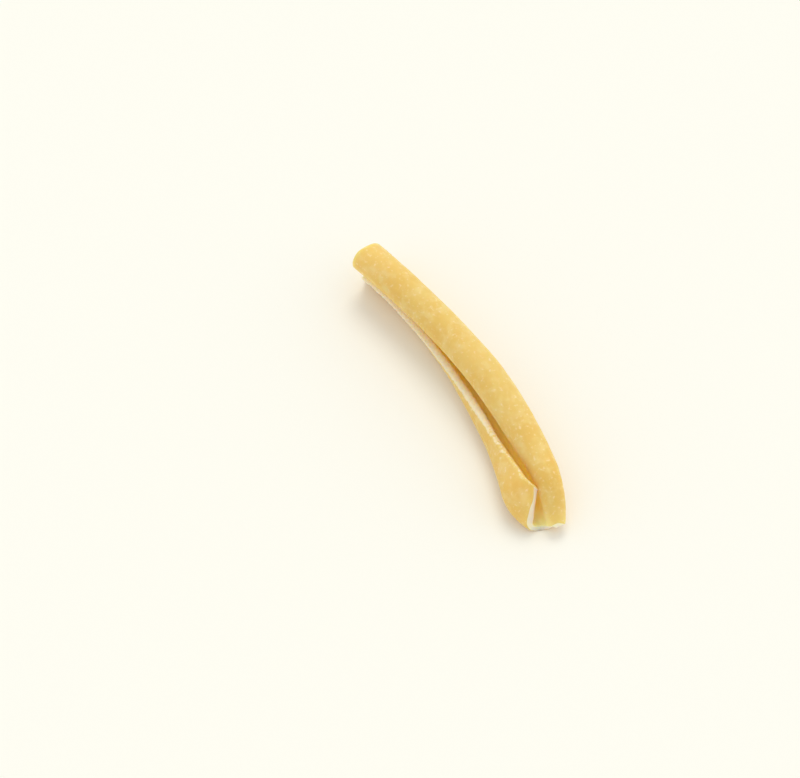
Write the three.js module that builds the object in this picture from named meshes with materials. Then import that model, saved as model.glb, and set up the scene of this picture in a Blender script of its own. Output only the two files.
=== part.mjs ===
// A piece of dried caserecce pasta: one sheet of dough whose two long edges are
// rolled in towards each other from opposite faces, so that its cross-section is
// an S of two hollow rolls. The S turns as it runs along the piece: the plain
// roll lies on top of the seam roll at the far end and beside it at the near end.
//
// Frame: millimetres, +X along the piece towards its near end, +Y to its plain
// roll's side, +Z up. The origin is the centre of the bounding box's bottom.
//
// Two coordinates name every place on the sheet:
//   along   millimetres along the bent middle line, 0 at the far end
//   across  0 at the free edge that shows in the seam, 0.5 in the middle wall
//           between the rolls, 1 at the free edge that is rolled in underneath

import * as THREE from "three";

// ---- Driving dimensions: millimetres, degrees where the name says so ----

const LENGTH = 48.8;
const WALL = 1.05;
const EDGE_ROUNDING = 0.5; // how far a free edge bulges, as a share of half the wall
const CUT_SOFTENING = 0.14; // rounding where a cut meets the faces of the sheet
const FLAT_DEPTH = 0.04; // what the floor presses flat under the piece

// The middle line is an arc in the plane of the floor.
const FAR_HEADING_DEG = 16.6;
const BEND_DEG_PER_MM = 0.59;

// The S's long axis, from the seam roll to the plain roll, above the horizontal.
const FAR_TILT_DEG = 105;
const TWIST_DEG = 90;
const TWIST_LENGTH = 54.5;
const END_TURN = { from: 43, to: 50, deg: 28 }; // the further turn of the near end

// Each roll is a strip of the sheet, from the middle wall out to its free edge.
const MIDDLE_WALL = 0.7; // the length over which a roll's curvature sets in
const EDGE_LEG = 3.0; // the last stretch of a roll, which straightens out
const SEAM_ROLL = { radius: 1.85, strip: 9.6, edgeCurl: 0.35 };
const PLAIN_ROLL = { radius: 1.74, strip: 9.4, edgeCurl: 0.3 };

// Near the near end the seam roll swells and reaches over to the plain roll.
const SWELL = { from: 34, to: 45, radius: 0.62, strip: 3.66, edgeCurl: -0.35, shift: 0.5 };
const TAPER = { radius: -0.45, strip: -2.5, edgeCurl: -0.6 }; // the plain roll over the same stretch

// Half-way along, the plain roll is a little fuller.
const BULGE = { middle: 27, reach: 9, radius: 0.13, strip: 0.5 };

// The near end itself was pinched when it was cut.
const PINCH = {
  from: 42.2,
  to: 48.6,
  radius: -1.61,
  strip: -3.95,
  edgeCurl: -0.75,
  shift: 0.1,
  height: -0.2,
};
const PLAIN_PINCH = { radius: -0.64, strip: -2.3 };

// How far the two cuts stand back from the ends, at places across the sheet.
const FAR_SEAM_EDGE_SETBACK = 0.6;
const FAR_TOP_SETBACK = 0.4; // from the plain roll's top on
const NEAR_SEAM_EDGE_SETBACK = 2.25;
const NEAR_SEAM_EDGE_REACH = 0.23; // how far across the sheet that setback reaches
const NEAR_SIDE_SETBACK = 0.85;
const NEAR_BOTTOM_SETBACK = 1.1;
const NEAR_HIDDEN_EDGE_SETBACK = 2.0;
const NEAR_CUT_SLOPE = 0.25; // how the near cut leans back over the thickness of the sheet

// ---- Mesh fineness ----

const RINGS = 50; // between the two cuts
const COLUMNS = 34; // over one face of the sheet
const EDGE_STEPS = 3; // round one free edge
const ROLL_STEPS = 36; // in working out a roll's curve
const END_CROWDING = 0.5; // 0 spaces the rings evenly, 1 crowds them towards the ends
const FLOOR_SAMPLES = 120;

const { degToRad, smoothstep, lerp } = THREE.MathUtils;

// ---- How the piece changes along its length ----

const ease = (from, to, x) => smoothstep(x, from, to);
const swell = (along) => ease(SWELL.from, SWELL.to, along);

// The pinch grows with the square of the way into it, as a rounded nose does.
function pinch(along) {
  const share = (along - PINCH.from) / (PINCH.to - PINCH.from);
  return Math.max(0, share) ** 2;
}

const bulge = (along) => 1 - ease(0, BULGE.reach, Math.abs(along - BULGE.middle));

const tiltAngle = (along) =>
  degToRad(
    FAR_TILT_DEG
    - TWIST_DEG * ease(0, TWIST_LENGTH, along)
    - END_TURN.deg * ease(END_TURN.from, END_TURN.to, along),
  );

function seamRollAt(along) {
  const size = (key) =>
    SEAM_ROLL[key] + SWELL[key] * swell(along) + PINCH[key] * pinch(along);
  return { radius: size("radius"), strip: size("strip"), edgeCurl: size("edgeCurl") };
}

function plainRollAt(along) {
  const size = (key) =>
    PLAIN_ROLL[key]
    + BULGE[key] * bulge(along)
    + TAPER[key] * swell(along)
    + PLAIN_PINCH[key] * pinch(along);
  const edgeCurl = PLAIN_ROLL.edgeCurl + TAPER.edgeCurl * swell(along);
  return { radius: size("radius"), strip: size("strip"), edgeCurl };
}

// The middle line: where it is and which way it heads.
function middleLine(along) {
  const start = degToRad(FAR_HEADING_DEG);
  const bend = degToRad(BEND_DEG_PER_MM);
  const heading = start - bend * along;
  return {
    x: (Math.sin(start) - Math.sin(heading)) / bend,
    y: (Math.cos(heading) - Math.cos(start)) / bend,
    heading,
  };
}

// ---- The cross-section ----

// Walks from the middle wall along a roll's strip. Curvature sets in over the
// middle wall, holds, and drops to a share of itself over the last leg.
function walkRoll(roll, share) {
  const step = (share * roll.strip) / ROLL_STEPS;
  let turned = 0;
  let across = 0;
  let up = 0;
  for (let i = 0; i < ROLL_STEPS; i += 1) {
    const walked = (i + 0.5) * step;
    const setIn = ease(0, MIDDLE_WALL, walked);
    const leg = ease(roll.strip - EDGE_LEG, roll.strip, walked);
    const turn = (step * setIn * (1 - (1 - roll.edgeCurl) * leg)) / roll.radius;
    across -= step * Math.sin(turned + turn / 2);
    up -= step * Math.cos(turned + turn / 2);
    turned += turn;
  }
  return { across, up, dirAcross: -Math.sin(turned), dirUp: -Math.cos(turned) };
}

// The sheet's mid-surface in the plane of the S, with the direction in which
// `across` grows. The plain roll is the seam roll's kind turned half round.
function sheetPoint(along, across) {
  if (across <= 0.5) {
    const p = walkRoll(seamRollAt(along), 1 - 2 * across);
    return { ...p, dirAcross: -p.dirAcross, dirUp: -p.dirUp };
  }
  const p = walkRoll(plainRollAt(along), 2 * across - 1);
  return { across: -p.across, up: -p.up, dirAcross: -p.dirAcross, dirUp: -p.dirUp };
}

// A point on the sheet's skin. `side` runs from 1 on the face outside the seam
// roll to -1 on the other; `tip` is 1 or -1 on the crown of a free edge.
function skinPoint(along, { across, side, tip }, thickness = 1) {
  const p = sheetPoint(along, across);
  const half = (WALL / 2) * thickness;
  const bulge = EDGE_ROUNDING * tip;
  const u = p.across + half * (side * p.dirUp + bulge * p.dirAcross);
  const v = p.up + half * (-side * p.dirAcross + bulge * p.dirUp);
  const tilt = tiltAngle(along);
  return {
    across: u * Math.cos(tilt) - v * Math.sin(tilt)
      + SWELL.shift * swell(along) + PINCH.shift * pinch(along),
    up: (u * Math.sin(tilt) + v * Math.cos(tilt)) * (1 + PINCH.height * pinch(along)),
  };
}

// The piece lies on the floor along its whole length, so every section is
// lowered by the height of its own lowest point, away from the free edges.
function makeFloorLine() {
  const lowest = [];
  for (let i = 0; i <= FLOOR_SAMPLES; i += 1) {
    const along = (LENGTH * i) / FLOOR_SAMPLES;
    let low = Infinity;
    for (let across = 0.14; across < 0.92; across += 0.01) {
      for (const side of [1, -1]) {
        low = Math.min(low, skinPoint(along, { across, side, tip: 0 }).up);
      }
    }
    lowest.push(low);
  }
  return (along) => {
    const at = THREE.MathUtils.clamp((along / LENGTH) * FLOOR_SAMPLES, 0, FLOOR_SAMPLES - 1e-6);
    const i = Math.floor(at);
    return lerp(lowest[i], lowest[i + 1], at - i);
  };
}

const floorLine = makeFloorLine();

function placePoint(along, spot, thickness) {
  const p = skinPoint(along, spot, thickness);
  const line = middleLine(along);
  const up = p.up - floorLine(along) - FLAT_DEPTH;
  return [
    line.x - p.across * Math.sin(line.heading),
    line.y + p.across * Math.cos(line.heading),
    Math.max(0, up),
  ];
}

// ---- The two cuts ----

const farCut = (across) =>
  FAR_SEAM_EDGE_SETBACK * (1 - ease(0, 0.12, across))
  + FAR_TOP_SETBACK * ease(0.76, 0.86, across);

function nearCut(spot) {
  const { across } = spot;
  const middle = LENGTH
    - NEAR_SEAM_EDGE_SETBACK * Math.max(0, 1 - across / NEAR_SEAM_EDGE_REACH) ** 2
    - NEAR_SIDE_SETBACK * (1 - ease(0.1, 0.34, across))
    - NEAR_BOTTOM_SETBACK * (1 - ease(0.36, 0.6, across))
    - NEAR_HIDDEN_EDGE_SETBACK * ease(0.69, 1, across);
  const rise = skinPoint(middle, spot).up - skinPoint(middle, { across, side: 0, tip: 0 }).up;
  return middle - NEAR_CUT_SLOPE * rise;
}

// ---- The mesh ----

// Once round the sheet: one face, the hidden edge, the other face, the seam edge.
function outlineSpots() {
  const spots = [];
  for (let i = 0; i < COLUMNS; i += 1) {
    spots.push({ across: i / (COLUMNS - 1), side: 1, tip: 0 });
  }
  for (let i = 1; i < EDGE_STEPS; i += 1) {
    const angle = (Math.PI * i) / EDGE_STEPS;
    spots.push({ across: 1, side: Math.cos(angle), tip: Math.sin(angle) });
  }
  for (let i = COLUMNS - 1; i >= 0; i -= 1) {
    spots.push({ across: i / (COLUMNS - 1), side: -1, tip: 0 });
  }
  for (let i = 1; i < EDGE_STEPS; i += 1) {
    const angle = (Math.PI * i) / EDGE_STEPS;
    spots.push({ across: 0, side: -Math.cos(angle), tip: -Math.sin(angle) });
  }
  return spots;
}

// Where the rings lie between the cuts, and how thick the sheet is there. The
// first and last two rings are thinner, which rounds the corners of the cuts.
function ringPlaces() {
  const softRings = [
    { inset: 0, thickness: 1 - (2 * CUT_SOFTENING) / WALL },
    { inset: 0.35 * CUT_SOFTENING, thickness: 1 - (0.6 * CUT_SOFTENING) / WALL },
    { inset: CUT_SOFTENING, thickness: 1 },
  ];
  const rings = softRings.map(({ inset, thickness }) => ({ share: 0, inset, thickness }));
  for (let i = 1; i < RINGS; i += 1) {
    const even = i / RINGS;
    const crowded = 0.5 - 0.5 * Math.cos(Math.PI * even);
    rings.push({ share: lerp(even, crowded, END_CROWDING), inset: 0, thickness: 1 });
  }
  for (const { inset, thickness } of softRings.toReversed()) {
    rings.push({ share: 1, inset: -inset, thickness });
  }
  return rings;
}

function addSideFaces(faces, rings, spots) {
  for (let ring = 0; ring < rings - 1; ring += 1) {
    for (let i = 0; i < spots; i += 1) {
      const next = (i + 1) % spots;
      const a = ring * spots + i;
      const b = ring * spots + next;
      const c = (ring + 1) * spots + next;
      const d = (ring + 1) * spots + i;
      faces.push([a, b, c], [a, c, d]);
    }
  }
}

// A cut is a ribbon between the sheet's two faces, with a fan at each free edge.
function addCutFaces(faces, firstSpot, flip) {
  const add = (a, b, c) => faces.push(flip ? [a, c, b] : [a, b, c]);
  const outer = (i) => firstSpot + i;
  const inner = (i) => firstSpot + COLUMNS + (EDGE_STEPS - 1) + (COLUMNS - 1 - i);
  for (let i = 0; i < COLUMNS - 1; i += 1) {
    add(outer(i), outer(i + 1), inner(i + 1));
    add(outer(i), inner(i + 1), inner(i));
  }
  const edgeFan = (from, firstOnEdge, to) => {
    const rim = [from];
    for (let i = 0; i < EDGE_STEPS - 1; i += 1) rim.push(firstSpot + firstOnEdge + i);
    rim.push(to);
    for (let i = 1; i < rim.length - 1; i += 1) add(rim[0], rim[i], rim[i + 1]);
  };
  edgeFan(outer(COLUMNS - 1), COLUMNS, inner(COLUMNS - 1));
  edgeFan(inner(0), 2 * COLUMNS + EDGE_STEPS - 1, outer(0));
}

function pastaGeometry() {
  const spots = outlineSpots();
  const rings = ringPlaces();
  const points = [];
  for (const { share, inset, thickness } of rings) {
    for (const spot of spots) {
      const along = lerp(farCut(spot.across), nearCut(spot), share) + inset;
      points.push(...placePoint(along, spot, thickness));
    }
  }
  const faces = [];
  addSideFaces(faces, rings.length, spots.length);
  addCutFaces(faces, 0, true);
  addCutFaces(faces, (rings.length - 1) * spots.length, false);

  const geometry = new THREE.BufferGeometry();
  geometry.setAttribute("position", new THREE.Float32BufferAttribute(points, 3));
  geometry.setIndex(faces.flat());
  geometry.computeBoundingBox();
  const { min, max } = geometry.boundingBox;
  geometry.translate(-(min.x + max.x) / 2, -(min.y + max.y) / 2, -min.z);
  geometry.computeVertexNormals();
  return geometry;
}

// ---- The part ----

const driedPasta = new THREE.MeshStandardMaterial({
  color: 0xe6c27a,
  roughness: 0.62,
  metalness: 0,
});

const pasta = new THREE.Mesh(pastaGeometry(), driedPasta);
pasta.name = "caserecce";

const part = new THREE.Group();
part.add(pasta);

export default part;
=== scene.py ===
"""One piece of dried caserecce pasta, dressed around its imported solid.

Frame: metres, the solid's own. The piece lies on the floor, z = 0, with +X along
it towards its near end. Two coordinates name every place on its sheet of dough:
along, in millimetres from the far end, and across, 0 at the free edge that shows
in the seam, 0.5 in the middle wall between the two rolls, 1 at the hidden edge.
"""

import math

import bpy
import numpy as np
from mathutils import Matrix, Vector, noise


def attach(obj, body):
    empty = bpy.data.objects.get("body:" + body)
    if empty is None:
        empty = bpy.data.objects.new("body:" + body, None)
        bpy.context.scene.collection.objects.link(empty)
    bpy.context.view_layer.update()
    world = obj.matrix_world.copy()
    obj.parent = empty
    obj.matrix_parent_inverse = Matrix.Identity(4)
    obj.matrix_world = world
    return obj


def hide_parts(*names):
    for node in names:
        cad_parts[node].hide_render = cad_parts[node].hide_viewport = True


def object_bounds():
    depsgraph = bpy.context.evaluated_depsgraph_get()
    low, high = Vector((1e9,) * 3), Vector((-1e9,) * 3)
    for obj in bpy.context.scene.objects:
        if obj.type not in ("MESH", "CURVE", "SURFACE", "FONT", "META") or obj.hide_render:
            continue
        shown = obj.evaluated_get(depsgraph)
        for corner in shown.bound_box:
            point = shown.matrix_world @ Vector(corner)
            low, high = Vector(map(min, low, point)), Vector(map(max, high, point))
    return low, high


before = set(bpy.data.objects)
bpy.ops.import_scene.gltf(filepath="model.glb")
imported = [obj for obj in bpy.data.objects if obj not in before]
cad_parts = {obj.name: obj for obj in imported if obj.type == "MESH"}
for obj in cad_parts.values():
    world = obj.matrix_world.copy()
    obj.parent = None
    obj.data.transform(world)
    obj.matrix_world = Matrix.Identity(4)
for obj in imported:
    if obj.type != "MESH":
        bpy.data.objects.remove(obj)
cad_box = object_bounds()

MM = 0.001

# ---- The piece's driving dimensions: millimetres, degrees where the name says so ----

LENGTH = 48.8
WALL = 1.05
EDGE_ROUNDING = 0.5  # how far a free edge bulges, as a share of half the wall
CUT_SOFTENING = 0.14  # rounding where a cut meets the faces of the sheet
FLAT_DEPTH = 0.04  # what the floor presses flat under the piece

FAR_HEADING_DEG = 16.6
BEND_DEG_PER_MM = 0.59
FAR_TILT_DEG = 105
TWIST_DEG = 90
TWIST_LENGTH = 54.5
END_TURN = {"start": 43, "end": 50, "deg": 28}

MIDDLE_WALL = 0.7
EDGE_LEG = 3.0
SEAM_ROLL = {"radius": 1.85, "strip": 9.6, "edge_curl": 0.35}
PLAIN_ROLL = {"radius": 1.74, "strip": 9.4, "edge_curl": 0.3}
SWELL = {"start": 34, "end": 45, "radius": 0.62, "strip": 3.66, "edge_curl": -0.35, "shift": 0.5}
TAPER = {"radius": -0.45, "strip": -2.5, "edge_curl": -0.6}
BULGE = {"middle": 27, "reach": 9, "radius": 0.13, "strip": 0.5}
PINCH = {
    "start": 42.2,
    "end": 48.6,
    "radius": -1.61,
    "strip": -3.95,
    "edge_curl": -0.75,
    "shift": 0.1,
    "height": -0.2,
}
PLAIN_PINCH = {"radius": -0.64, "strip": -2.3}

# ---- The two cuts: setbacks in millimetres, start, end and reach in across ----

FAR_SEAM_EDGE = {"setback": 0.6, "start": 0, "end": 0.12}
FAR_TOP = {"setback": 0.4, "start": 0.76, "end": 0.86}
NEAR_SEAM_EDGE = {"setback": 2.25, "reach": 0.23}
NEAR_SIDE = {"setback": 0.85, "start": 0.1, "end": 0.34}
NEAR_BOTTOM = {"setback": 1.1, "start": 0.36, "end": 0.6}
NEAR_HIDDEN_EDGE = {"setback": 2.0, "start": 0.69, "end": 1}
NEAR_CUT_SLOPE = 0.25

# ---- Mesh fineness ----

RINGS = 390
COLUMNS = 112
EDGE_STEPS = 8
SOFT_RINGS = 5
ROLL_STEPS = 36
END_CROWDING = 0.35
FLOOR_SAMPLES = 120
UNDERSIDE = {"start": 0.14, "end": 0.92, "step": 0.01}  # where the sheet may touch the floor, in across

# ---- Relief of the dough, in millimetres ----

DENT = {"size": 5.0, "height": 0.07}  # the unevenness of a sheet rolled by hand
RIPPLE = {"size": 1.3, "height": 0.022}
GRAIN = {"size": 0.42, "height": 0.010, "finer_share": 0.6}
EDGE_REACH = 0.28  # how far a torn, floury free edge reaches into the sheet
EDGE_FADE = {"start": 27, "end": 40, "share": 0.6}  # it is smoother towards the near end
EDGE_ROUGHNESS = 9.0  # how much rougher it is than the rest
CUT_ROUGHNESS = 2.5
# Painted light: where the paler inside of each roll fades in, standing in for light passing through the
# dough into the hollows.
SEAM_ROLL_PAINTED_GLOW = {"start": 0.5, "end": 0.62}  # where the inside of a roll begins, in across
PLAIN_ROLL_PAINTED_GLOW = {"start": 0.4, "end": 0.5}

# ---- Colours, as sRGB ----

GOLD = (235, 198, 115)
DEEP_GOLD = (233, 191, 102)
PALE_DOUGH = (241, 210, 142)
FLOUR = (255, 228, 196)
CUT_DOUGH = (255, 240, 205)
# Painted light: a paler dough for the faces inside the rolls, standing in for light that passes through the
# dough into its hollows.
PAINTED_GLOW_INSIDE = (255, 234, 160)
FLOOR = (250, 248, 240)
SUNLIGHT = (255, 246, 230)
SKYLIGHT = (250, 254, 255)

# ---- Noise fields: size in millimetres, and an offset that keeps each apart from the others ----

BROAD_FIELD = {"size": 6.0, "detail": 2.0, "offset": 0.0}
PATCH_FIELD = {"size": 1.4, "detail": 3.0, "offset": 7.0}
FLECK_FIELD = {"size": 0.45, "detail": 1.0, "offset": 19.0}
FINE_FIELD = {"size": 0.16, "detail": 3.0, "offset": 3.0}
COARSE_FIELD = {"size": 0.5, "detail": 2.0, "offset": 11.0}
HAZE_FIELD = {"size": 40.0, "detail": 2.0, "offset": 0.0}

# ---- Tints: none of one below low, and most of it above high ----

BROAD_TINT = {"low": 0.35, "high": 0.65, "most": 1.0}
PATCH_TINT = {"low": 0.42, "high": 0.75, "most": 0.7}
FLECK_TINT = {"low": 0.58, "high": 0.78, "most": 0.4}
EDGE_TINT = {"low": 0.3, "high": 0.8, "most": 0.85}
EDGE_RAGGEDNESS = 1.2
FIELD_MIDDLE = 0.5
CUT_TINT = {"low": 0.1, "high": 0.7, "most": 0.95}

# ---- Surfaces ----

DOUGH_ROUGHNESS = (0.52, 0.72)
DOUGH_BUMP = 0.03
FINE_BUMP_SHARE = 0.5
DOUGH_SHADER = {
    "Subsurface Weight": 0.8,
    "Subsurface Radius": (1.0, 0.75, 0.4),
    "Subsurface Scale": 3.0 * MM,
    "Specular IOR Level": 0.3,
}
FLOOR_ROUGHNESS = (0.88, 0.92)
FLOOR_BUMP = 0.001
FLOOR_SHADER = {"Specular IOR Level": 0.1}
FLOOR_HALF = 3000
ROUGHNESS_FIELD_LOW = 0.3
ROUGHNESS_FIELD_HIGH = 0.7

# ---- The view, in millimetres and degrees ----

VIEW_AZIMUTH_DEG = 63.0
VIEW_ELEVATION_DEG = 55
VIEW_DISTANCE = 550
VIEW_LENS = 184.8
SENSOR = 36
VIEW_MIDDLE = (-5.2, -6.9)  # the floor point in the middle of the picture
CLIP_START = 10
CLIP_END = 10000

# ---- The light, each lamp's azimuth counted on from the view's ----

KEY = {"azimuth_deg": 176, "elevation_deg": 58, "strength": 0.85, "softness_deg": 30}
FILL = {"azimuth_deg": 85, "elevation_deg": 40, "strength": 0.2, "softness_deg": 60}
SKY_STRENGTH = 0.81
LIGHT_BOUNCES = 16
DIFFUSE_BOUNCES = 12


def ease(start, end, x):
    """0 before start, 1 after end, and smooth between."""
    share = np.clip((x - start) / (end - start), 0, 1)
    return share * share * (3 - 2 * share)


def ease_over(span, x):
    return ease(span["start"], span["end"], x)


# ---- How the piece changes along its length ----


def swell(along):
    return ease_over(SWELL, along)


def pinch(along):
    share = (along - PINCH["start"]) / (PINCH["end"] - PINCH["start"])
    return np.maximum(0, share) ** 2


def bulge(along):
    return 1 - ease(0, BULGE["reach"], np.abs(along - BULGE["middle"]))


def tilt_angle(along):
    end_turn = END_TURN["deg"] * ease_over(END_TURN, along)
    return np.radians(FAR_TILT_DEG - TWIST_DEG * ease(0, TWIST_LENGTH, along) - end_turn)


def seam_roll_at(along):
    def size(key):
        return SEAM_ROLL[key] + SWELL[key] * swell(along) + PINCH[key] * pinch(along)

    return size("radius"), size("strip"), size("edge_curl")


def plain_roll_at(along):
    def size(key):
        return (
            PLAIN_ROLL[key]
            + BULGE[key] * bulge(along)
            + TAPER[key] * swell(along)
            + PLAIN_PINCH[key] * pinch(along)
        )

    edge_curl = PLAIN_ROLL["edge_curl"] + TAPER["edge_curl"] * swell(along)
    return size("radius"), size("strip"), edge_curl


def middle_line(along):
    """Where the bent middle line is, and its heading."""
    start = math.radians(FAR_HEADING_DEG)
    bend = math.radians(BEND_DEG_PER_MM)
    heading = start - bend * along
    x = (math.sin(start) - np.sin(heading)) / bend
    y = (np.cos(heading) - math.cos(start)) / bend
    return x, y, heading


# ---- The cross-section ----


def walk_roll(roll, share):
    """Walks from the middle wall along a roll's strip, to a share of it."""
    radius, strip, edge_curl = roll
    step = share * strip / ROLL_STEPS
    turned = np.zeros_like(step)
    sideways = np.zeros_like(step)
    up = np.zeros_like(step)
    for i in range(ROLL_STEPS):
        walked = (i + 0.5) * step
        leg = ease(strip - EDGE_LEG, strip, walked)
        turn = step * ease(0, MIDDLE_WALL, walked) * (1 - (1 - edge_curl) * leg) / radius
        sideways -= step * np.sin(turned + turn / 2)
        up -= step * np.cos(turned + turn / 2)
        turned += turn
    return np.stack([sideways, up, -np.sin(turned), -np.cos(turned)])


def sheet_point(along, across):
    """The sheet's mid-surface in the plane of the S, and the direction in which across grows."""
    seam_side = walk_roll(seam_roll_at(along), np.clip(1 - 2 * across, 0, 1))
    plain_side = walk_roll(plain_roll_at(along), np.clip(2 * across - 1, 0, 1))
    seam_side[2:] *= -1
    plain_side[:2] *= -1
    plain_side[2:] *= -1
    return np.where(across <= 0.5, seam_side, plain_side)


def skin_point(along, across, side, tip, thickness=1.0):
    """A point on the sheet's skin, sideways and up. side is 1 on the face outside the seam
    roll and -1 on the other, and tip is 1 or -1 on the crown of a free edge."""
    u, v, towards_u, towards_v = sheet_point(along, across)
    half = WALL / 2 * thickness
    crown = EDGE_ROUNDING * tip
    u = u + half * (side * towards_v + crown * towards_u)
    v = v + half * (-side * towards_u + crown * towards_v)
    tilt = tilt_angle(along)
    shift = SWELL["shift"] * swell(along) + PINCH["shift"] * pinch(along)
    up = (u * np.sin(tilt) + v * np.cos(tilt)) * (1 + PINCH["height"] * pinch(along))
    return u * np.cos(tilt) - v * np.sin(tilt) + shift, up


def lowest_points():
    """The height of each section's lowest point, away from the free edges."""
    along = np.linspace(0, LENGTH, FLOOR_SAMPLES + 1)
    underside = np.arange(UNDERSIDE["start"], UNDERSIDE["end"], UNDERSIDE["step"])
    grid, across = np.meshgrid(along, underside, indexing="ij")
    faces = [skin_point(grid, across, side, 0)[1] for side in (1, -1)]
    return along, np.min(np.concatenate(faces, axis=1), axis=1)


def place_points(along, across, side, tip, thickness):
    """Points of the skin in millimetres, on the floor."""
    sideways, up = skin_point(along, across, side, tip, thickness)
    x, y, heading = middle_line(along)
    floor = np.interp(along, *lowest_points())
    return np.stack(
        [
            x - sideways * np.sin(heading),
            y + sideways * np.cos(heading),
            np.maximum(0, up - floor - FLAT_DEPTH),
        ],
        axis=-1,
    )


# ---- The two cuts ----


def setback_before(cut, across):
    return cut["setback"] * (1 - ease_over(cut, across))


def setback_after(cut, across):
    return cut["setback"] * ease_over(cut, across)


def far_cut(across):
    """Where along the sheet the far cut is."""
    return setback_before(FAR_SEAM_EDGE, across) + setback_after(FAR_TOP, across)


def near_cut(across, side, tip):
    """Where along the sheet the near cut is. It leans back as the skin rises."""
    seam_edge = np.maximum(0, 1 - across / NEAR_SEAM_EDGE["reach"]) ** 2
    middle = (
        LENGTH
        - NEAR_SEAM_EDGE["setback"] * seam_edge
        - setback_before(NEAR_SIDE, across)
        - setback_before(NEAR_BOTTOM, across)
        - setback_after(NEAR_HIDDEN_EDGE, across)
    )
    rise = skin_point(middle, across, side, tip)[1] - skin_point(middle, across, 0, 0)[1]
    return middle - NEAR_CUT_SLOPE * rise


# ---- The fine mesh. Each vertex has five facts, in this order ----

ALONG, ACROSS, SIDE, TIP, CUT = range(5)


def outline_spots():
    """across, side and tip, once round the sheet: a face, the hidden edge, the other face, the seam edge."""
    across = np.linspace(0, 1, COLUMNS)
    angle = np.pi * np.arange(1, EDGE_STEPS) / EDGE_STEPS
    ones = np.ones(COLUMNS)
    edge = np.ones(EDGE_STEPS - 1)
    return np.stack(
        [
            np.concatenate([across, edge, across[::-1], 0 * edge]),
            np.concatenate([ones, np.cos(angle), -ones, -np.cos(angle)]),
            np.concatenate([0 * ones, np.sin(angle), 0 * ones, -np.sin(angle)]),
        ]
    )


def ring_places():
    """Each ring's share of the way between the cuts, its inset and the sheet's thickness there."""
    angle = np.linspace(0, np.pi / 2, SOFT_RINGS)
    inset = CUT_SOFTENING * (1 - np.cos(angle))
    thickness = 1 - 2 * CUT_SOFTENING * (1 - np.sin(angle)) / WALL
    even = np.arange(1, RINGS) / RINGS
    crowded = 0.5 - 0.5 * np.cos(np.pi * even)
    middle = even + END_CROWDING * (crowded - even)
    share = np.concatenate([0 * angle, middle, 0 * angle + 1])
    insets = np.concatenate([inset, CUT_SOFTENING * (1 - 2 * middle), -inset[::-1]])
    return share, insets, np.concatenate([thickness, 0 * middle + 1, thickness[::-1]])


def dough_skin():
    """The skin between the cuts: rings of vertices in millimetres, and their facts."""
    spots = outline_spots()
    share, inset, thickness = ring_places()
    across, side, tip = (np.tile(row, (len(share), 1)) for row in spots)
    start, end = far_cut(across), near_cut(across, side, tip)
    along = start + (end - start) * share[:, None] + inset[:, None]
    thick = np.tile(thickness[:, None], (1, spots.shape[1]))
    points = place_points(along, across, side, tip, thick)
    return points, np.stack([along, across, side, tip, 0 * along], axis=-1)


def side_faces(rings, spots):
    """The skin's faces, from each ring to the next."""
    ring, spot = np.meshgrid(np.arange(rings - 1), np.arange(spots), indexing="ij")
    here, there = ring * spots, (ring + 1) * spots
    after = (spot + 1) % spots
    corners = [here + spot, here + after, there + after, there + spot]
    return np.stack(corners, axis=-1).reshape(-1, 4)


def edge_arcs(first_spot):
    """Vertex numbers round the two free edges, on the ring that starts at first_spot."""
    seam_arc = first_spot + 2 * COLUMNS + EDGE_STEPS - 1 + np.arange(EDGE_STEPS - 1)
    hidden_arc = first_spot + COLUMNS + np.arange(EDGE_STEPS - 1)
    return seam_arc[::-1], hidden_arc


def close_cut(skin, skin_facts, first_spot, first_new):
    """The new vertices across a cut, their facts, and the cut's faces."""
    outer = first_spot + np.arange(COLUMNS)
    inner = first_spot + COLUMNS + EDGE_STEPS - 1 + np.arange(COLUMNS)[::-1]
    steps = np.arange(1, EDGE_STEPS) / EDGE_STEPS
    between = skin[outer][:, None] + (skin[inner] - skin[outer])[:, None] * steps[:, None]
    facts = np.repeat(skin_facts[outer][:, None], EDGE_STEPS - 1, axis=1)
    facts[:, :, SIDE] = 1 - 2 * steps
    facts[:, :, CUT] = 1

    new = first_new + np.arange(COLUMNS * (EDGE_STEPS - 1)).reshape(COLUMNS, -1)
    rows = np.concatenate([outer[:, None], new, inner[:, None]], axis=1)
    seam_arc, hidden_arc = edge_arcs(first_spot)
    seam_row = np.concatenate([[outer[0]], seam_arc, [inner[0]]])
    hidden_row = np.concatenate([[outer[-1]], hidden_arc, [inner[-1]]])
    grid = np.concatenate([[seam_row], rows, [hidden_row]])
    quads = np.stack([grid[:-1, :-1], grid[1:, :-1], grid[1:, 1:], grid[:-1, 1:]], axis=-1)
    return between.reshape(-1, 3), facts.reshape(-1, 5), quads.reshape(-1, 4)


def dough_mesh():
    """The vertices in millimetres, the faces, and each vertex's facts."""
    points, facts = dough_skin()
    rings, spots = points.shape[:2]
    skin, skin_facts = points.reshape(-1, 3), facts.reshape(-1, 5)
    last_ring = (rings - 1) * spots
    far_points, far_facts, far_faces = close_cut(skin, skin_facts, 0, len(skin))
    first_new = len(skin) + len(far_points)
    near_points, near_facts, near_faces = close_cut(skin, skin_facts, last_ring, first_new)
    vertices = np.concatenate([skin, far_points, near_points])
    faces = np.concatenate([side_faces(rings, spots), far_faces[:, ::-1], near_faces])
    return vertices, faces, np.concatenate([skin_facts, far_facts, near_facts])


def bare_mesh():
    vertices, faces, facts = dough_mesh()
    polygons = [list(dict.fromkeys(face)) for face in faces.tolist()]
    mesh = bpy.data.meshes.new("caserecce_dough")
    mesh.from_pydata(vertices.tolist(), [], polygons)
    mesh.update()
    return mesh, vertices, facts


# ---- Relief ----


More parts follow.
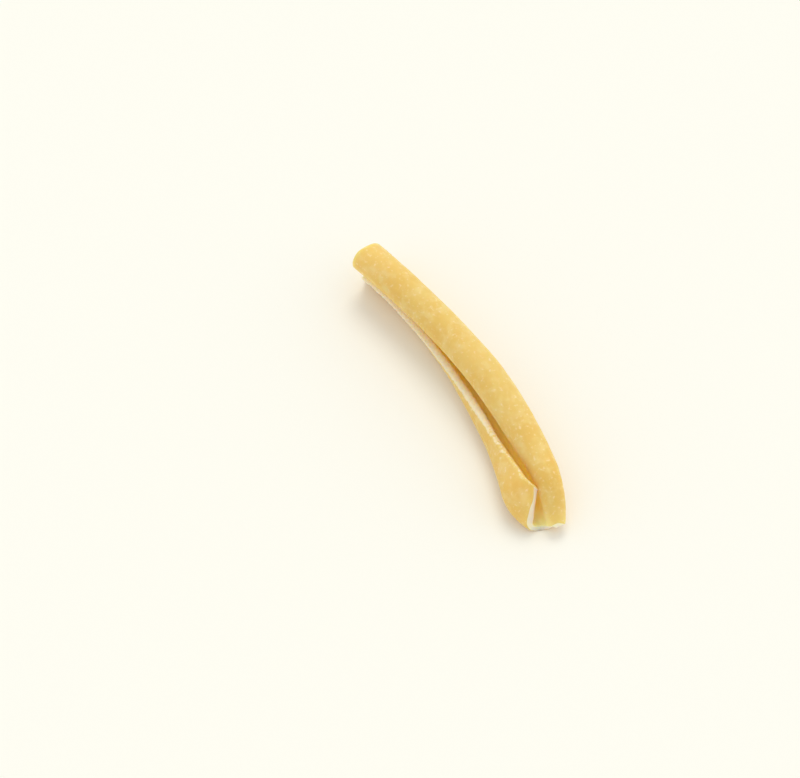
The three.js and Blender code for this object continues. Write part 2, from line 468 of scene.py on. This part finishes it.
def relief(point, edge, cut):
    """How far the dough stands out at a point, in millimetres."""
    dent = noise.noise(point / DENT["size"])
    ripple = noise.noise(point / RIPPLE["size"])
    finer = GRAIN["finer_share"] * noise.noise(point / (GRAIN["size"] / 2))
    grain = noise.noise(point / GRAIN["size"]) + finer
    rough = 1 + EDGE_ROUGHNESS * edge + CUT_ROUGHNESS * cut
    return DENT["height"] * dent + RIPPLE["height"] * ripple + GRAIN["height"] * grain * rough


def edge_share(facts):
    """1 on a free edge, fading to 0 over its reach into the sheet, and less towards the near end."""
    along, across = facts[:, ALONG], facts[:, ACROSS]
    seam_strip = seam_roll_at(along)[1]
    plain_strip = plain_roll_at(along)[1]
    distance = np.minimum(2 * across * seam_strip, 2 * (1 - across) * plain_strip)
    fade = 1 - EDGE_FADE["share"] * ease_over(EDGE_FADE, along)
    return np.exp(-((distance / EDGE_REACH) ** 2)) * fade


def painted_glow_share(facts):
    """How much painted light the faces inside the two rolls get: 1 there, 0 on the outer faces."""
    across, side = facts[:, ACROSS], facts[:, SIDE]
    seam_glow = 1 - ease_over(SEAM_ROLL_PAINTED_GLOW, across)
    plain_glow = ease_over(PLAIN_ROLL_PAINTED_GLOW, across)
    return np.where(side < 0, seam_glow * -side, plain_glow * side)


def raise_relief(mesh, vertices, edge, cut):
    """The vertices moved along the skin's normals, inside the box that they started in."""
    normals = np.empty(len(vertices) * 3, np.float32)
    mesh.vertex_normals.foreach_get("vector", normals)
    heights = np.array([relief(Vector(p), e, c) for p, e, c in zip(vertices.tolist(), edge, cut)])
    moved = vertices + normals.reshape(-1, 3) * heights[:, None]
    return np.clip(moved, vertices.min(axis=0), vertices.max(axis=0))


def place_in_cad_box(vertices, moved):
    """Millimetres to metres, with the bare vertices' box set on the middle of the solid's."""
    low, high = vertices.min(axis=0), vertices.max(axis=0)
    box_low, box_high = (np.array(corner) for corner in cad_box)
    middle = (low + high) / 2
    place = (box_low + box_high) / 2
    middle[2] = low[2]
    place[2] = box_low[2]
    return np.clip((moved - middle) * MM + place, box_low, box_high)


def dress_mesh(mesh, vertices, facts):
    """Gives the mesh its relief, and the shares that the material reads."""
    edge, cut = edge_share(facts), facts[:, CUT]
    placed = place_in_cad_box(vertices, raise_relief(mesh, vertices, edge, cut))
    mesh.vertices.foreach_set("co", placed.astype(np.float32).ravel())
    # The inside share is painted light: paler faces inside the rolls, less of it on the free edges.
    shares = {"free_edge": edge, "cut_face": cut, "inside": painted_glow_share(facts) * (1 - edge)}
    for name, values in shares.items():
        attribute = mesh.attributes.new(name, "FLOAT", "POINT")
        attribute.data.foreach_set("value", values.astype(np.float32))
    mesh.polygons.foreach_set("use_smooth", np.ones(len(mesh.polygons), bool))
    mesh.update()


# ---- Materials ----


def linear(colour):
    """An sRGB colour, 0 to 255, as Blender's linear RGBA."""
    shares = [channel / 255 for channel in colour]
    return tuple(c / 12.92 if c <= 0.04045 else ((c + 0.055) / 1.055) ** 2.4 for c in shares) + (1.0,)


class Nodes:
    """A material's node tree, with one short call for each kind of node used here."""

    def __init__(self, name):
        self.material = bpy.data.materials.new(name)
        self.material.use_nodes = True
        self.tree = self.material.node_tree
        self.tree.nodes.clear()

    def add(self, kind, **settings):
        node = self.tree.nodes.new("ShaderNode" + kind)
        for key, value in settings.items():
            setattr(node, key, value)
        return node

    def feed(self, socket, value):
        """Sets a socket to a number or a colour, or links it to another node's output."""
        if isinstance(value, (int, float, tuple)):
            socket.default_value = value
        else:
            self.tree.links.new(value, socket)

    def millimetres(self):
        """Places on the object, in millimetres."""
        place = self.add("TexCoord")
        scale = self.add("VectorMath", operation="SCALE")
        self.feed(scale.inputs["Scale"], 1 / MM)
        self.feed(scale.inputs[0], place.outputs["Object"])
        return scale.outputs[0]

    def noise(self, place, field):
        shift = self.add("VectorMath", operation="ADD")
        self.feed(shift.inputs[0], place)
        self.feed(shift.inputs[1], (field["offset"],) * 3)
        node = self.add("TexNoise")
        self.feed(node.inputs["Scale"], 1 / field["size"])
        self.feed(node.inputs["Detail"], field["detail"])
        self.feed(node.inputs["Vector"], shift.outputs[0])
        return node.outputs["Fac"]

    def attribute(self, name):
        return self.add("Attribute", attribute_name=name).outputs["Fac"]

    def span(self, value, low, high, to_low, to_high):
        """A smooth step from to_low at low to to_high at high."""
        node = self.add("MapRange", interpolation_type="SMOOTHSTEP")
        self.feed(node.inputs["Value"], value)
        for name, number in zip(("From Min", "From Max", "To Min", "To Max"), (low, high, to_low, to_high)):
            self.feed(node.inputs[name], number)
        return node.outputs["Result"]

    def math(self, operation, a, b):
        node = self.add("Math", operation=operation)
        self.feed(node.inputs[0], a)
        self.feed(node.inputs[1], b)
        return node.outputs[0]

    def blend(self, colour, share, other):
        """A colour blended by a share towards another."""
        node = self.add("Mix", data_type="RGBA")
        self.feed(node.inputs[0], share)
        self.feed(node.inputs[6], colour)
        self.feed(node.inputs[7], linear(other))
        return node.outputs[2]

    def tint(self, colour, value, tint, other):
        """A colour tinted with another as the value grows."""
        share = self.span(value, tint["low"], tint["high"], 0.0, tint["most"])
        return self.blend(colour, share, other)

    def roughness(self, field, roughness):
        """A roughness that runs between two values with a noise field."""
        return self.span(field, ROUGHNESS_FIELD_LOW, ROUGHNESS_FIELD_HIGH, *roughness)

    def finish(self, colour, roughness, height, bump, settings):
        """The finished material, with the bump's depth in millimetres and settings by socket name."""
        bumps = self.add("Bump")
        self.feed(bumps.inputs["Distance"], bump * MM)
        self.feed(bumps.inputs["Height"], height)
        shader = self.add("BsdfPrincipled")
        self.feed(shader.inputs["Base Color"], colour)
        self.feed(shader.inputs["Roughness"], roughness)
        self.feed(shader.inputs["Normal"], bumps.outputs["Normal"])
        for name, value in settings.items():
            self.feed(shader.inputs[name], value)
        output = self.add("OutputMaterial")
        self.feed(output.inputs["Surface"], shader.outputs["BSDF"])
        return self.material


def dough_colour(nodes, place):
    """Gold dough, paler in patches, with painted light that makes it paler inside the rolls, floury on its
    edges and pale on its cuts.
    """
    flecks = nodes.noise(place, FLECK_FIELD)
    crumbs = nodes.math("MULTIPLY", nodes.math("SUBTRACT", flecks, FIELD_MIDDLE), EDGE_RAGGEDNESS)
    ragged_edge = nodes.math("ADD", nodes.attribute("free_edge"), crumbs)
    colour = nodes.tint(linear(GOLD), nodes.noise(place, BROAD_FIELD), BROAD_TINT, DEEP_GOLD)
    colour = nodes.tint(colour, nodes.noise(place, PATCH_FIELD), PATCH_TINT, PALE_DOUGH)
    # Painted light: paler inside the rolls, standing in for light that passes through the dough into its
    # hollows.
    colour = nodes.blend(colour, nodes.attribute("inside"), PAINTED_GLOW_INSIDE)
    colour = nodes.tint(colour, flecks, FLECK_TINT, FLOUR)
    colour = nodes.tint(colour, ragged_edge, EDGE_TINT, FLOUR)
    return nodes.tint(colour, nodes.attribute("cut_face"), CUT_TINT, CUT_DOUGH)


def dough_material():
    nodes = Nodes("dried_pasta")
    place = nodes.millimetres()
    fine = nodes.noise(place, FINE_FIELD)
    coarse = nodes.noise(place, COARSE_FIELD)
    height = nodes.math("ADD", nodes.math("MULTIPLY", fine, FINE_BUMP_SHARE), coarse)
    roughness = nodes.roughness(coarse, DOUGH_ROUGHNESS)
    return nodes.finish(dough_colour(nodes, place), roughness, height, DOUGH_BUMP, DOUGH_SHADER)


def floor_material():
    nodes = Nodes("pale_floor")
    haze = nodes.noise(nodes.millimetres(), HAZE_FIELD)
    roughness = nodes.roughness(haze, FLOOR_ROUGHNESS)
    return nodes.finish(linear(FLOOR), roughness, haze, FLOOR_BUMP, FLOOR_SHADER)


# ---- The scene ----


def make_piece():
    mesh, vertices, facts = bare_mesh()
    dress_mesh(mesh, vertices, facts)
    mesh.materials.append(dough_material())
    piece = bpy.data.objects.new("caserecce_dough", mesh)
    bpy.context.collection.objects.link(piece)
    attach(piece, "root")
    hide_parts("caserecce")


def make_floor():
    half = FLOOR_HALF * MM
    corners = [(-half, -half, 0), (half, -half, 0), (half, half, 0), (-half, half, 0)]
    mesh = bpy.data.meshes.new("floor")
    mesh.from_pydata(corners, [], [(0, 1, 2, 3)])
    mesh.materials.append(floor_material())
    floor = bpy.data.objects.new("floor", mesh)
    bpy.context.collection.objects.link(floor)


def direction(azimuth_deg, elevation_deg):
    """From the part towards a place that far round it and that far above the floor."""
    azimuth = math.radians(azimuth_deg)
    elevation = math.radians(elevation_deg)
    level = math.cos(elevation)
    return Vector((math.sin(azimuth) * level, -math.cos(azimuth) * level, math.sin(elevation)))


def add_sun(name, sun):
    lamp = bpy.data.lights.new(name, "SUN")
    lamp.energy = sun["strength"]
    lamp.angle = math.radians(sun["softness_deg"])
    lamp.color = linear(SUNLIGHT)[:3]
    towards = direction(VIEW_AZIMUTH_DEG + sun["azimuth_deg"], sun["elevation_deg"])
    item = bpy.data.objects.new(name, lamp)
    item.rotation_euler = towards.to_track_quat("Z", "Y").to_euler()
    bpy.context.collection.objects.link(item)


def light_scene():
    add_sun("key", KEY)
    add_sun("fill", FILL)
    world = bpy.data.worlds.new("studio")
    bpy.context.scene.world = world
    world.use_nodes = True
    background = world.node_tree.nodes["Background"]
    background.inputs["Color"].default_value = linear(SKYLIGHT)
    background.inputs["Strength"].default_value = SKY_STRENGTH
    bpy.context.scene.view_settings.view_transform = "Standard"
    bpy.context.scene.cycles.max_bounces = LIGHT_BOUNCES
    bpy.context.scene.cycles.diffuse_bounces = DIFFUSE_BOUNCES


def make_camera():
    lens = bpy.data.cameras.new("camera")
    lens.lens = VIEW_LENS
    lens.sensor_width = SENSOR
    lens.clip_start = CLIP_START * MM
    lens.clip_end = CLIP_END * MM
    camera = bpy.data.objects.new("camera", lens)
    back = direction(VIEW_AZIMUTH_DEG, VIEW_ELEVATION_DEG)
    camera.location = Vector((*VIEW_MIDDLE, 0)) * MM + back * VIEW_DISTANCE * MM
    camera.rotation_euler = back.to_track_quat("Z", "Y").to_euler()
    bpy.context.collection.objects.link(camera)
    bpy.context.scene.camera = camera


make_camera()
make_piece()
make_floor()
light_scene()
